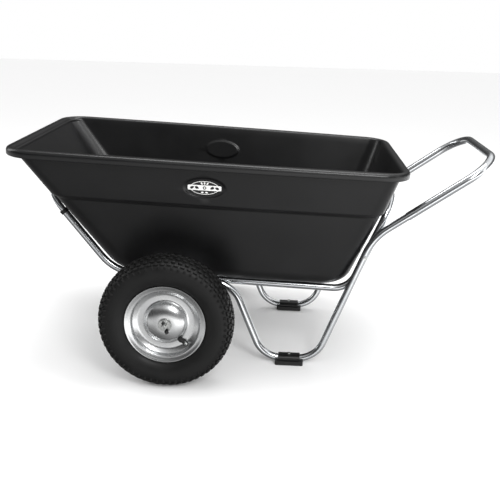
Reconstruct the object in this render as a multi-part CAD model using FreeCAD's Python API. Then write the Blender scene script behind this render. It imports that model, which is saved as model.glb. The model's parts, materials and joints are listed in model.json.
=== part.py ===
"""Two-wheeled garden cart: a moulded tub lying in a cradle of bent aluminium tube.

Millimetres, +Z up, +X towards the push handle, ground at Z = 0. The cart is laid out about its axle
(X = 0) and every piece is moved by -centre_x when it is written, so the origin is the middle of the
cart's bounding box on the ground. The tub and the cradle share axes (u, y, w) that lean down to the
rear by cart_tilt: u along the rails, w square to them, w = 0 on the rails' centre line.
"""
import FreeCAD
import Part
import math
import os

V = FreeCAD.Vector
ACROSS = V(0, 1, 0)
UP = V(0, 0, 1)
SIDES = (("left", -1), ("right", 1))

# ---------------------------------------------------------------- driving dimensions
cart_tilt = 2.06            # degrees, rails and tub lean down to the rear
part_gap = 0.3              # between pieces that lie against each other
bolt_gap = 0.2              # radial, bolt in its hole

# tub, measured in its own axes
tub_length = 1181.0         # over the lip
tub_width = 699.0           # over the lip, at mid length
tub_depth = 383.6           # outside, floor to the top of the lip
tub_front = 499.0           # front of the lip to the axle
tub_wall = 4.5
lip_overhang = 28.0
lip_height = 23.0
lip_round = 11.0
lip_nose = 10.0             # the lip stands out this much more at the front
lip_corner = 18.0           # and its corners are this much rounder than the walls'
belt_drop = 138.6           # top of the lip to the belt ledge
belt_step = 8.0             # the upper walls stand out by this much
belt_rise = 4.0             # height of the sloping ledge
side_taper = 0.0274         # per side, the tub narrows to the rear
side_bow = 12.0             # the sides bulge at mid length
corner_low = 92.0           # plan radius of the corners at the floor
corner_high = 48.0          # and under the lip
front_lean, front_lean_upper, front_round = 0.745, 0.735, 105.0
rear_lean, rear_lean_upper, rear_round = 0.329, 0.27, 60.0
side_lean, side_lean_upper, side_round = 0.19, 0.19, 50.0

# badges on the tub's sides
badge_length, badge_height, badge_plate = 86.0, 44.0, 2.0
banner_length, banner_height = 100.0, 19.0
badge_u, badge_drop = 89.0, 80.0    # along the tub from the axle, below the top of the lip
badge_recess = 3.0
recess_length, recess_height = 118.0, 60.0

# tubes
frame_tube_d = 22.2
tube_wall = 1.5
sleeve_gap = 0.1            # radial, one tube inside the next
front_gap = 1.6             # front slope of the cradle to the tub, where the tub's floor curve ends
rear_gap = 0.8              # the same at the rear
front_loop_lean = 0.85
rear_loop_lean = 0.365
front_bend, rear_bend, rear_corner = 140.0, 70.0, 90.0
rail_front_w = 188.8        # height of the rails' front ends above their straight run
front_bar_drop = 8.0        # front crossbar below the belt ledge
front_corner = 66.0
rear_bar_rise = 44.0        # rear crossbar above the belt ledge
loop_insert = 80.0          # front loop's legs inside the rails, measured in w

# legs and handle
axle_below_rail = 68.8
leg_front_u = -62.0
leg_top_setback = 186.0     # front top bend of the leg ahead of the foot
foot_setback = 176.0        # foot ahead of the cradle's rear bend
foot_run = 168.0            # between the bends at the foot
foot_tube_z = 15.0
leg_kick = 62.0             # upper bend of the leg behind the cradle's rear bend
leg_kick_rise = 175.6       # and above the rail there
leg_top_bend, leg_foot_bend, leg_kick_bend = 100.0, 87.0, 170.0
handle_rise = 35.5          # degrees above the horizontal
handle_reach = 422.0        # upper bend of the leg to the crossbar
handle_corner = 100.0
sleeve_start = 119.0        # upper bend to the end of the handle tube
leg_insert = 70.0           # leg tube inside the handle tube
button_inset = 32.0         # snap button from the end of the handle tube

# snap buttons
button_d = 6.0
button_proud = 1.8
button_foot_d, button_foot = 9.0, 1.0
leaf_length, leaf_width, leaf_sheet = 32.0, 7.0, 0.8

# feet
pad_length, pad_width, pad_height = 89.0, 56.0, 13.0
pad_corner = 6.0
saddle_length, saddle_width, saddle_cover, saddle_round = 68.0, 40.0, 2.0, 12.0
foot_bolt_d, foot_bolt_end = 6.0, 2.5

# fasteners
bolt_d, bolt_across, bolt_head = 6.0, 10.0, 4.0
rear_bolt_w = 115.0         # height of the leg's rear bolt above the rails
rivet_d, rivet_head_d, rivet_head = 4.8, 9.5, 2.0
rivet_lead = 7.1703         # rivet in each rail, ahead of the leg's top bend

# collar on the front end of each rail
collar_wall, collar_length, collar_end = 2.4, 12.0, 3.0

# wheels
wheel_d = 400.0
tyre_width = 104.0
wheel_clearance = 73.5      # tub wall to tyre, level with the tyre's top
rim_width = 76.0
flange_d = 236.0
bead_d = 202.0
rim_sheet = 2.0
disc_depth = 26.0           # flat of the wheel disc below the outer flange
disc_outer_d, dome_d = 170.0, 126.0
hub_wall, hub_in, hub_out = 2.5, 38.0, 41.0
bearing_d, bearing_width = 35.0, 11.0
tyre_wall = 11.0
tube_rubber = 2.0
axle_d = 15.875
axle_running_gap = 0.05
spacer_wall = 4.5
washer_d, washer_sheet = 36.0, 3.0
pin_d, pin_length, pin_head_d, pin_head = 4.5, 27.0, 11.0, 9.0
pin_turn = 25.0             # degrees, the pin leans from upright
axle_end = 9.0              # axle beyond the pin
valve_d, valve_length, cap_d, cap_length = 11.0, 16.0, 8.5, 9.0
valve_root = 8.0
valve_turn = 51.0           # degrees below +X, where the valve stands

# axle hangers
hanger_sheet = 6.0
hanger_top = 15.0           # above the rails' centre line
hanger_width = 104.0
hanger_bolt_spread = 34.0
hanger_boss = 24.0          # radius round the axle

# ---------------------------------------------------------------- derived places
frame_r = frame_tube_d / 2
handle_r = frame_r + sleeve_gap + tube_wall
loop_r = frame_r - tube_wall - sleeve_gap
axle_z = wheel_d / 2
rail_z = axle_z + axle_below_rail
floor_w = frame_r + part_gap
belt_height = tub_depth - belt_drop - belt_rise
lip_base = tub_depth - lip_height


class Wall:
    """One side of the tub: where it stands under the lip, how it leans, how it meets the floor."""

    def __init__(self, top, lean_upper, lean_lower, floor_round):
        self.lean_upper = lean_upper
        self.lean_lower = lean_lower
        self.floor_round = floor_round
        self.top = top
        self.foot = (top - lean_upper * (lip_base - belt_height - belt_rise) - belt_step
                     - lean_lower * belt_height)

    def reach(self, height, inset=0.0):
        """Distance of the wall's face at a height over the floor; inset is the wall's thickness."""
        if height >= belt_height + belt_rise + inset:
            face = self.top - self.lean_upper * (lip_base - height)
            return face - inset * math.hypot(1, self.lean_upper)
        foot = self.foot - inset * math.hypot(1, self.lean_lower)
        radius = self.floor_round - inset
        slope = math.atan(self.lean_lower)
        bend_top = radius * (1 - math.sin(slope)) + inset
        if height >= bend_top:
            return foot + self.lean_lower * height
        middle = foot + self.lean_lower * bend_top - radius * math.cos(slope)
        rise = 1 - (height - inset) / radius
        return middle + radius * math.sqrt(max(0.0, 1 - rise * rise))


front_wall = Wall(tub_front - lip_nose - lip_overhang, front_lean_upper, front_lean, front_round)
rear_wall = Wall(tub_length - tub_front - lip_overhang, rear_lean_upper, rear_lean, rear_round)
side_wall = Wall(tub_width / 2 - lip_overhang, side_lean_upper, side_lean, side_round)

rail_y = side_wall.reach(0.0)
leg_y = rail_y + frame_tube_d + part_gap


def beside(wall, gap, lean):
    """Where a cradle tube that leans beside a wall crosses the rails' centre line.

    The gap is taken where the wall comes out of its curve from the floor, its nearest place.
    """
    bend_top = wall.floor_round * (1 - math.sin(math.atan(wall.lean_lower)))
    across = (frame_r + gap) * math.hypot(1, lean)
    return wall.reach(bend_top) + across - lean * (bend_top + floor_w)


front_bend_u = -beside(front_wall, front_gap, front_loop_lean)
rear_bend_u = beside(rear_wall, rear_gap, rear_loop_lean)
rear_bar_w = floor_w + belt_height + rear_bar_rise
front_bar_w = floor_w + belt_height - front_bar_drop


def world(u, y, w):
    """A point of the tilted tub and cradle axes, in the cart's axes."""
    lean = math.radians(cart_tilt)
    return V(u * math.cos(lean) + w * math.sin(lean), y, rail_z - u * math.sin(lean) + w * math.cos(lean))


def tilted(shape):
    """Move a shape drawn in the tilted axes into the cart's axes."""
    shape.rotate(V(0, 0, 0), ACROSS, cart_tilt)
    shape.translate(V(0, 0, rail_z))
    return shape


def mirrored(shape):
    return shape.mirror(V(0, 0, 0), ACROSS)


def on_side(shape, sign):
    """A shape drawn for the right side (+Y), or its mirror image for the left."""
    return shape if sign > 0 else mirrored(shape)


rear_bend_x = world(rear_bend_u, 0, 0).x
foot_x = rear_bend_x - foot_setback
rivet_u = foot_x - leg_top_setback - rivet_lead
kick = V(rear_bend_x + leg_kick, 0, world(rear_bend_u, 0, 0).z + leg_kick_rise)
handle_way = V(math.cos(math.radians(handle_rise)), 0, math.sin(math.radians(handle_rise)))

handle_end_x = kick.x + handle_way.x * handle_reach + handle_r
tub_front_x = world(-tub_front, 0, floor_w + lip_base).x
centre_x = (handle_end_x + tub_front_x) / 2

tyre_top_height = (wheel_d - world(0, 0, floor_w).z)
wheel_y = side_wall.reach(tyre_top_height) + wheel_clearance + tyre_width / 2


# ---------------------------------------------------------------- helpers
def cylinder(radius, start, way, length):
    return Part.makeCylinder(radius, length, start, way)


def ring(outer, inner, start, way, length):
    return cylinder(outer, start, way, length).cut(cylinder(inner, start, way, length))


def hexagon(across, start, way, length):
    """Hexagonal prism, across the flats."""
    flat = Part.Wire(Part.makePolygon([
        V(across / math.sqrt(3) * math.cos(math.radians(60 * i)),
          across / math.sqrt(3) * math.sin(math.radians(60 * i)), 0) for i in range(7)]))
    prism = Part.Face(flat).extrude(UP * length)
    prism.Placement = FreeCAD.Placement(start, FreeCAD.Rotation(UP, way))
    return prism


def bent_path(points, radii):
    """Straight runs through the points, joined by tangent arcs at the inner ones."""
    edges = []
    here = points[0]
    for before, corner, after, radius in zip(points, points[1:], points[2:], radii):
        back = (before - corner).normalize()
        ahead = (after - corner).normalize()
        half = back.getAngle(ahead) / 2
        reach = radius / math.tan(half)
        start = corner + back * reach
        end = corner + ahead * reach
        bisector = (back + ahead).normalize()
        middle = corner + bisector * (radius / math.sin(half) - radius)
        edges.append(Part.LineSegment(here, start).toShape())
        edges.append(Part.Arc(start, middle, end).toShape())
        here = end
    edges.append(Part.LineSegment(here, points[-1]).toShape())
    return Part.Wire(edges)


def bar(points, radii, radius):
    """Solid round bar along a bent path."""
    path = bent_path(points, radii)
    way = points[1] - points[0]
    section = Part.Face(Part.Wire(Part.makeCircle(radius, points[0], way)))
    return path.makePipe(section)


def tube(points, radii, radius):
    """Round tube along a bent path, open at both ends."""
    return bar(points, radii, radius).cut(bar(points, radii, radius - tube_wall))


def turned(profile):
    """Solid turned about the wheel's axis from a closed profile of (out, radius) pairs.

    A pair of pairs stands for an arc: a point on it and its end.
    """
    def spot(pair):
        return V(0, pair[0], pair[1])

    edges = []
    here = spot(profile[0])
    for step in profile[1:] + profile[:1]:
        if isinstance(step[0], tuple):
            end = spot(step[1])
            edges.append(Part.Arc(here, spot(step[0]), end).toShape())
        else:
            end = spot(step)
            edges.append(Part.LineSegment(here, end).toShape())
        here = end
    return Part.Face(Part.Wire(edges)).revolve(V(0, 0, 0), ACROSS, 360)


def sheet_profile(line, thickness):
    """Closed profile of bent sheet: a line of points and the same line moved square to itself."""
    ways = []
    for (out_a, r_a), (out_b, r_b) in zip(line, line[1:]):
        run = math.hypot(out_b - out_a, r_b - r_a)
        ways.append(((r_b - r_a) / run, -(out_b - out_a) / run))
    moved = []
    for point, one, two in zip(line, ways[:1] + ways, ways + ways[-1:]):
        share = thickness / (1 + one[0] * two[0] + one[1] * two[1])
        moved.append((point[0] + (one[0] + two[0]) * share, point[1] + (one[1] + two[1]) * share))
    return line + moved[::-1]


def at_wheel(shape, sign):
    """Put a piece drawn about the origin, outer side towards +Y, on one end of the axle."""
    shape = shape.copy()
    shape.translate(V(0, wheel_y, axle_z))
    return on_side(shape, sign)


# ---------------------------------------------------------------- tub
def outline(front, rear, half, corner, height):
    """Plan of the tub at a height: straight ends, bowed sides and four round corners."""
    length = front + rear
    middle = (rear - front) / 2
    bow = side_bow * (length / tub_length) ** 2
    nose = half - bow + side_taper * length / 2
    tail = half - bow - side_taper * length / 2
    side = Part.Circle(V(-front, nose, 0), V(middle, half, 0), V(rear, tail, 0))
    centre, big = side.Center, side.Radius

    def corner_arc(end, inward):
        """The corner's tangent points on the end wall and on the side, and its middle."""
        along = end + inward * corner - centre.x
        hub = V(end + inward * corner, centre.y + math.sqrt((big - corner) ** 2 - along ** 2), 0)
        on_end = V(end, hub.y, 0)
        out = (hub - centre).normalize()
        on_side_arc = centre + out * big
        between = hub + (V(-inward, 0, 0) + out).normalize() * corner
        return on_end, between, on_side_arc

    front_a, front_b, front_c = corner_arc(-front, 1)
    rear_a, rear_b, rear_c = corner_arc(rear, -1)
    mid = V(middle, half, 0)

    def flip(point):
        return V(point.x, -point.y, 0)

    edges = [
        Part.LineSegment(flip(front_a), front_a),
        Part.Arc(front_a, front_b, front_c),
        Part.Arc(front_c, mid, rear_c),
        Part.Arc(rear_c, rear_b, rear_a),
        Part.LineSegment(rear_a, flip(rear_a)),
        Part.Arc(flip(rear_a), flip(rear_b), flip(rear_c)),
        Part.Arc(flip(rear_c), flip(mid), flip(front_c)),
        Part.Arc(flip(front_c), flip(front_b), flip(front_a)),
    ]
    wire = Part.Wire([edge.toShape() for edge in edges])
    wire.translate(V(0, 0, height + floor_w))
    return wire


def tub_plan(height, inset=0.0, spread=0.0, level=None):
    """Plan of the tub's face at a height, inset by the wall or spread outwards.

    The lip stands upright, so its plans take the walls at one level.
    """
    share = 0.0 if level is None else spread / lip_overhang
    level = height if level is None else level
    half = side_wall.reach(level, inset) + spread
    plain = side_wall.foot + side_wall.lean_lower * level
    plain += (side_wall.top - side_wall.foot - side_wall.lean_lower * lip_base) * (level > belt_height)
    corner = corner_low + (corner_high - corner_low) * level / lip_base
    corner += min(0.0, half - spread - plain) + spread + lip_corner * share
    front = front_wall.reach(level, inset) + spread + lip_nose * share
    return outline(front, rear_wall.reach(level, inset) + spread, half, corner, height)


def bend_heights(base):
    """Heights that step evenly round the curve from the floor into the walls."""
    steps = 6
    top = max(w.floor_round * (1 - math.sin(math.atan(w.lean_lower)))
              for w in (front_wall, rear_wall, side_wall))
    return [base + top * (1 - math.cos(math.radians(90 * i / steps))) for i in range(steps + 1)]


def tub_body(inset, top):
    """Solid inside one face of the tub, from its floor to a height."""
    heights = bend_heights(inset)
    heights += [belt_height + inset - 0.01, belt_height + belt_rise + inset, top]
    return Part.makeLoft([tub_plan(h, inset) for h in heights], True, True)


def lip_solid(inset):
    """Solid inside the lip's outer face, from just below the lip to its top."""
    steps = 4
    turns = [math.radians(90 * i / steps) for i in range(steps + 1)]
    radius = lip_round - inset
    drop = inset + radius
    sections = [tub_plan(lip_base - inset, 0, lip_overhang - inset, lip_base)]
    for turn in turns:
        height = tub_depth - drop + radius * math.sin(turn)
        spread = lip_overhang - inset - radius * (1 - math.cos(turn))
        sections.append(tub_plan(height, 0, spread, lip_base))
    return Part.makeLoft(sections, True, True)


def badge_axes():
    """Middle of the left badge's seat on the tub's face, and the face's outward direction."""
    height = tub_depth - badge_drop
    front, rear = front_wall.reach(height), rear_wall.reach(height)
    middle = (rear - front) / 2
    bow = side_bow * ((front + rear) / tub_length) ** 2
    half = side_wall.reach(height) - side_taper * (badge_u - middle)
    half -= bow * (2 * (badge_u - middle) / (front + rear)) ** 2
    spot = V(badge_u, -half, height + floor_w)
    way = V(side_taper, -1, -side_lean_upper).normalize()
    return spot, way


def face_placement(start, way):
    """Placement with Z along an outward direction of the tub's side and X along the tub."""
    along = V(1, 0, 0) - way * way.x
    return FreeCAD.Placement(start, FreeCAD.Rotation(along, way.cross(along), way, "ZXY"))


def badge_disc(length, height, start, way, thickness):
    """Oval slab on the tub's side, from a point outwards."""
    oval = Part.Ellipse(V(0, 0, 0), length / 2, height / 2)
    slab = Part.Face(Part.Wire(oval.toShape())).extrude(UP * thickness)
    slab.Placement = face_placement(start, way)
    return slab


def make_tub():
    """Moulded tub: floor, four leaning walls with a belt ledge, rolled lip and two badge recesses."""
    outside = tub_body(0.0, tub_depth).fuse(lip_solid(0.0))
    lip_hollow = lip_solid(tub_wall).cut(tub_body(0.0, tub_depth))
    shell = outside.cut(lip_hollow).cut(tub_body(tub_wall, tub_depth))
    spot, way = badge_axes()
    inner = badge_disc(recess_length + 2 * tub_wall, recess_height + 2 * tub_wall,
                       spot - way * (badge_recess + tub_wall), way, badge_recess + tub_wall / 2)
    pocket = badge_disc(recess_length, recess_height, spot - way * badge_recess, way, 4 * badge_recess)
    shell = shell.fuse([inner, mirrored(inner)]).cut(pocket).cut(mirrored(pocket))
    return tilted(shell)


def make_badge():
    """Oval plate of the left side, seated in its recess."""
    spot, way = badge_axes()
    start = spot - way * badge_recess
    oval = badge_disc(badge_length, badge_height, start, way, badge_plate)
    banner = Part.makeBox(banner_length, banner_height, badge_plate, V(-banner_length / 2, -banner_height / 2, 0))
    banner.Placement = face_placement(start, way)
    return tilted(oval.fuse(banner).removeSplitter())


# ---------------------------------------------------------------- frame tubes
def on_front_slope(w, y=0.0):
    return world(front_bend_u - front_loop_lean * w, y, w)


def on_rear_slope(w, y=0.0):
    return world(rear_bend_u + rear_loop_lean * w, y, w)


def cradle_route():
    half = [on_front_slope(rail_front_w, rail_y), world(front_bend_u, rail_y, 0),
            world(rear_bend_u, rail_y, 0), on_rear_slope(rear_bar_w, rail_y)]
    other = [V(p.x, -p.y, p.z) for p in half]
    return half + other[::-1]


def front_loop_route():
    half = [on_front_slope(rail_front_w - loop_insert, rail_y), on_front_slope(front_bar_w, rail_y)]
    other = [V(p.x, -p.y, p.z) for p in half]
    return half + other[::-1]


def leg_route(y):
    foot_front = V(foot_x - foot_run / 2, y, foot_tube_z)
    foot_rear = V(foot_x + foot_run / 2, y, foot_tube_z)
    upper = V(kick.x, y, kick.z)
    return [world(leg_front_u, y, 0), world(foot_x - leg_top_setback, y, 0), foot_front, foot_rear, upper,
            upper + handle_way * (sleeve_start + leg_insert)]


def leg_bends():
    return [leg_top_bend, leg_foot_bend, leg_foot_bend, leg_kick_bend]


def handle_route():
    start = kick + handle_way * sleeve_start
    end = kick + handle_way * handle_reach
    half = [V(start.x, leg_y, start.z), V(end.x, leg_y, end.z)]
    other = [V(p.x, -p.y, p.z) for p in half]
    return half + other[::-1]


def crossing():
    """Where a bolt joins the leg to the cradle's rear slope, midway between their lines."""
    _, _, _, low, high, _ = leg_route(0)
    on_rail = on_rear_slope(rear_bolt_w)
    share = (on_rail.z - low.z) / (high.z - low.z)
    return (low + (high - low) * share + on_rail) / 2


def side_bolt_spots():
    """Bolts through leg and rail: two at each hanger, one at the rear crossing."""
    return [world(-hanger_bolt_spread, 0, 0), world(hanger_bolt_spread, 0, 0), crossing()]


def bolt_head_y(spot):
    """Outer seat of a side bolt's head: the hanger plate near the axle, else the leg."""
    outer = leg_y + frame_r + part_gap
    return outer + hanger_sheet + part_gap if abs(spot.x) < hanger_width / 2 else outer


def side_holes(radius):
    """Cutters along Y for the side bolts of the right side."""
    start = rail_y - 2 * frame_r
    length = leg_y - rail_y + 4 * frame_r
    return [cylinder(radius, V(spot.x, start, spot.z), ACROSS, length) for spot in side_bolt_spots()]


def both_sides(shapes):
    return shapes + [mirrored(shape) for shape in shapes]


def front_button_spot():
    return on_front_slope(rail_front_w - loop_insert / 2, rail_y)


def handle_button_spot():
    spot = kick + handle_way * (sleeve_start + button_inset)
    return V(spot.x, leg_y, spot.z)


def button_hole(spot):
    return cylinder(button_d / 2 + bolt_gap, spot, ACROSS, 2 * frame_r)


def make_cradle_tube():
    """Both rails and the loop behind the tub, bent from one tube."""
    shape = tube(cradle_route(), [front_bend, rear_bend, rear_corner, rear_corner, rear_bend, front_bend], frame_r)
    rivet = cylinder(rivet_d / 2 + bolt_gap, world(rivet_u, rail_y, 0), ACROSS, 2 * frame_r)
    holes = side_holes(bolt_d / 2 + bolt_gap) + [button_hole(front_button_spot()), rivet]
    return shape.cut(both_sides(holes))


def make_front_loop():
    """Thin tube loop in front of the tub, its legs pushed into the rails."""
    shape = tube(front_loop_route(), [front_corner, front_corner], loop_r)
    return shape.cut(both_sides([button_hole(front_button_spot())]))


def make_leg_tube():
    """Right leg: along the rail, down to the foot, up past the tub and into the handle."""
    shape = tube(leg_route(leg_y), leg_bends(), frame_r)
    foot_hole = cylinder(foot_bolt_d / 2 + bolt_gap, V(foot_x, leg_y, 0), UP, 2 * foot_tube_z)
    return shape.cut(side_holes(bolt_d / 2 + bolt_gap) + [foot_hole, button_hole(handle_button_spot())])


def make_handle_loop():
    """Push handle: one loop of wider tube, sleeved over both legs."""
    shape = tube(handle_route(), [handle_corner, handle_corner], handle_r)
    return shape.cut(both_sides([button_hole(handle_button_spot())]))


def make_collar():
    """Plastic collar that caps the right rail's front end round the front loop."""
    end = on_front_slope(rail_front_w, rail_y)
    way = (end - on_front_slope(0, rail_y)).normalize()
    base = end - way * (collar_length - collar_end)
    shape = cylinder(frame_r + part_gap / 2 + collar_wall, base, way, collar_length)
    return shape.cut([cylinder(frame_r + part_gap / 2, base, way, collar_length - collar_end + part_gap / 2),
                      cylinder(loop_r + part_gap / 2, base, way, collar_length)])


def make_snap_button(spot, outer_r, along):
    """Sprung button on a leaf inside the right-hand tubes, its head through both walls."""
    foot_top = loop_r - tube_wall - 1.6
    base = spot + ACROSS * (foot_top - button_foot)
    pin = cylinder(button_d / 2, base, ACROSS, outer_r + button_proud - foot_top + button_foot)
    foot = cylinder(button_foot_d / 2, base, ACROSS, button_foot)
    leaf = Part.makeBox(leaf_length, leaf_sheet, leaf_width, V(-leaf_length / 6, -leaf_sheet, -leaf_width / 2))
    leaf.Placement = FreeCAD.Placement(base, FreeCAD.Rotation(V(1, 0, 0), along))
    return pin.fuse([foot, leaf]).removeSplitter()


# ---------------------------------------------------------------- fasteners
def make_side_bolts():
    """Hexagon bolts through hanger, leg and rail, and through leg and rail at the crossing."""
    solids = []
    for spot in side_bolt_spots():
        head = V(spot.x, bolt_head_y(spot), spot.z)
        end = rail_y - frame_r - part_gap - 1.3 * bolt_head
        shank = cylinder(bolt_d / 2, V(spot.x, end, spot.z), ACROSS, head.y - end)
        solids.append(shank.fuse(hexagon(bolt_across, head, ACROSS, bolt_head)))
    return Part.makeCompound(both_sides(solids))


def make_side_nuts():
    """Nuts of the side bolts, on the inner faces of the rails."""
    solids = []
    for spot in side_bolt_spots():
        seat = V(spot.x, rail_y - frame_r - part_gap, spot.z)
        nut = hexagon(bolt_across, seat, -ACROSS, bolt_head)
        solids.append(nut.cut(cylinder(bolt_d / 2 + bolt_gap / 2, seat, -ACROSS, bolt_head)))
    return Part.makeCompound(both_sides(solids))


def make_rail_rivets():
    """Round-headed rivet in the outer wall of each rail, just above the leg."""
    seat = world(rivet_u, rail_y, 0) + ACROSS * (frame_r + bolt_gap)
    head = cylinder(rivet_head_d / 2, seat, ACROSS, rivet_head)
    shank = cylinder(rivet_d / 2, seat - ACROSS * 3 * tube_wall, ACROSS, 3 * tube_wall)
    return Part.makeCompound(both_sides([head.fuse(shank)]))


# ---------------------------------------------------------------- feet
def make_foot_pad():
    """Rubber pad under the right leg, grooved for the tube."""
    pad = Part.makeBox(pad_length, pad_width, pad_height, V(foot_x - pad_length / 2, leg_y - pad_width / 2, 0))
    upright = [edge for edge in pad.Edges if abs(edge.tangentAt(edge.FirstParameter).z) > 0.5]
    pad = pad.makeFillet(pad_corner, upright)
    hole = cylinder(foot_bolt_d / 2 + bolt_gap, V(foot_x, leg_y, foot_bolt_end - part_gap), UP, pad_height)
    return pad.cut([bar(leg_route(leg_y), leg_bends(), frame_r + part_gap), hole])


def saddle_top():
    return foot_tube_z + frame_r + saddle_cover


def make_foot_saddle():
    """Plastic saddle over the tube that clamps it down on the pad."""
    base = pad_height + part_gap
    saddle = Part.makeBox(saddle_length, saddle_width, saddle_top() - base,
                          V(foot_x - saddle_length / 2, leg_y - saddle_width / 2, base))
    long = [edge for edge in saddle.Edges if edge.BoundBox.ZMin > base + 1 and edge.BoundBox.YLength < 1]
    saddle = saddle.makeFillet(saddle_round, long)
    hole = cylinder(foot_bolt_d / 2 + bolt_gap, V(foot_x, leg_y, base), UP, saddle_top())
    return saddle.cut([bar(leg_route(leg_y), leg_bends(), frame_r + part_gap), hole])


def make_foot_bolt():
    """Bolt from the saddle's top down through the tube into the pad."""
    head = V(foot_x, leg_y, saddle_top() + part_gap)
    shank = cylinder(foot_bolt_d / 2, V(foot_x, leg_y, foot_bolt_end), UP, head.z - foot_bolt_end)
    return shank.fuse(hexagon(bolt_across, head, UP, bolt_head))


# ---------------------------------------------------------------- axle and hangers
hanger_in = leg_y + frame_r + part_gap
hanger_out = hanger_in + hanger_sheet
washer_y = wheel_y + hub_out + part_gap
pin_y = washer_y + washer_sheet + part_gap + pin_head_d / 2


def make_axle_hanger():
    """Plate bolted outside the right leg and rail, with the axle's bore below."""
    half = hanger_width / 2
    top = rail_z + hanger_top
    low = rail_z - hanger_top - 4
    spread = hanger_boss * 0.9
    plate = Part.Face(Part.Wire(Part.makePolygon([
        V(-half, hanger_in, top), V(half, hanger_in, top), V(half, hanger_in, low),
        V(spread, hanger_in, axle_z - hanger_boss / 2), V(-spread, hanger_in, axle_z - hanger_boss / 2),
        V(-half, hanger_in, low), V(-half, hanger_in, top)]))).extrude(ACROSS * hanger_sheet)
    boss = cylinder(hanger_boss, V(0, hanger_in, axle_z), ACROSS, hanger_sheet)
    bore = cylinder(axle_d / 2 + axle_running_gap, V(0, hanger_in, axle_z), ACROSS, hanger_sheet)
    return plate.fuse(boss).removeSplitter().cut(side_holes(bolt_d / 2 + bolt_gap)[:2] + [bore])


def make_axle():
    """Solid axle across the cart, drilled near each end for its pin."""
    end = pin_y + axle_end
    shaft = cylinder(axle_d / 2, V(0, -end, axle_z), ACROSS, 2 * end)
    shaft = shaft.makeChamfer(1.0, [edge for edge in shaft.Edges if edge.BoundBox.YLength < 0.01])
    return shaft.cut(both_sides([pin_shank(pin_d / 2 + bolt_gap, 2 * pin_length)]))


def pin_way():
    lean = math.radians(pin_turn)
    return V(math.sin(lean), 0, -math.cos(lean))


def pin_shank(radius, length):
    return cylinder(radius, V(0, pin_y, axle_z) - pin_way() * length / 2, pin_way(), length)


def make_axle_pin():
    """Quick-release pin through the right end of the axle, with a round grip."""
    head = V(0, pin_y, axle_z) + pin_way() * pin_length / 2
    return pin_shank(pin_d / 2, pin_length).fuse(cylinder(pin_head_d / 2, head, pin_way(), pin_head))


def make_spacer():
    """Tube on the axle between the right hanger and the wheel's hub."""
    start = hanger_out + part_gap
    inner = axle_d / 2 + 2 * axle_running_gap
    return ring(inner + spacer_wall, inner, V(0, start, axle_z), ACROSS, wheel_y - hub_in - part_gap - start)


def make_washer():
    """Washer between the right wheel's hub and the pin."""
    return ring(washer_d / 2, axle_d / 2 + 2 * axle_running_gap, V(0, washer_y, axle_z), ACROSS, washer_sheet)


# ---------------------------------------------------------------- wheel, outer side towards +Y
hub_r = bearing_d / 2 + axle_running_gap + hub_wall
disc_hole = hub_r + part_gap
bead_r, flange_r, half_rim = bead_d / 2, flange_d / 2, rim_width / 2
disc_out = half_rim - disc_depth
valve_spot = V(0, disc_out + 4.0, (bead_r - 2 + disc_outer_d / 2) / 2)
valve_way = V(0, 14.0, -8.0).normalize()


def dome(start, end, rise, steps=8):
    """Points of a quarter-oval from the disc's flat up to the hub: (out, radius) pairs."""
    turns = [math.radians(90 * i / steps) for i in range(steps + 1)]
    return [(start + rise * math.sin(t), end + (dome_d / 2 - end) * math.cos(t)) for t in turns]


def valve_axis(length, radius):
    return cylinder(radius, valve_spot - valve_way * valve_root, valve_way, length)


def at_valve(shape):
    """Turn a piece drawn above the hub to the valve's place round the rim."""
    shape = shape.copy()
    shape.rotate(V(0, 0, 0), ACROSS, 90 + valve_turn)
    return shape


def make_rim_outer():
    """Outer pressing: flange, bead seat, slanted wall, flat and dome."""
    line = [(half_rim, flange_r), (half_rim - 4, flange_r - 10), (half_rim - 5, bead_r),
            (disc_out + 8, bead_r - 2), (disc_out, disc_outer_d / 2)]
    line += dome(disc_out, disc_hole, half_rim - disc_out)
    rim = turned(sheet_profile(line, rim_sheet))
    return rim.cut(at_valve(valve_axis(2 * valve_length, valve_d / 2 + bolt_gap)))


def make_rim_inner():
    """Inner pressing: flange, bead seat and well, with its flat against the outer one's."""
    back = disc_out - 2 * rim_sheet - bolt_gap
    line = [(-half_rim, flange_r), (4 - half_rim, flange_r - 10), (5 - half_rim, bead_r),
            (-disc_out - 8, bead_r - 2), (-disc_out + 4, disc_outer_d / 2 + 3), (back, disc_outer_d / 2 + 1)]
    line += dome(back, disc_hole, -(half_rim - rim_sheet) - back)
    return turned(sheet_profile(line[::-1], rim_sheet))


def make_hub_tube():
    """Hub welded through both pressings, bored for a bearing at each end."""
    return ring(hub_r, hub_r - hub_wall, V(0, -hub_in, 0), ACROSS, hub_in + hub_out)


def make_bearing(start):
    """Ball bearing as a plain ring that runs on the axle."""
    return ring(bearing_d / 2, axle_d / 2 + axle_running_gap, V(0, start, 0), ACROSS, bearing_width)


tyre_r, half_tyre = wheel_d / 2, tyre_width / 2
flank_r = (tyre_r + flange_r) / 2 - 5
seat_r = bead_r + rim_sheet + part_gap
bead_out = half_rim - 5 - rim_sheet - part_gap


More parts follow.
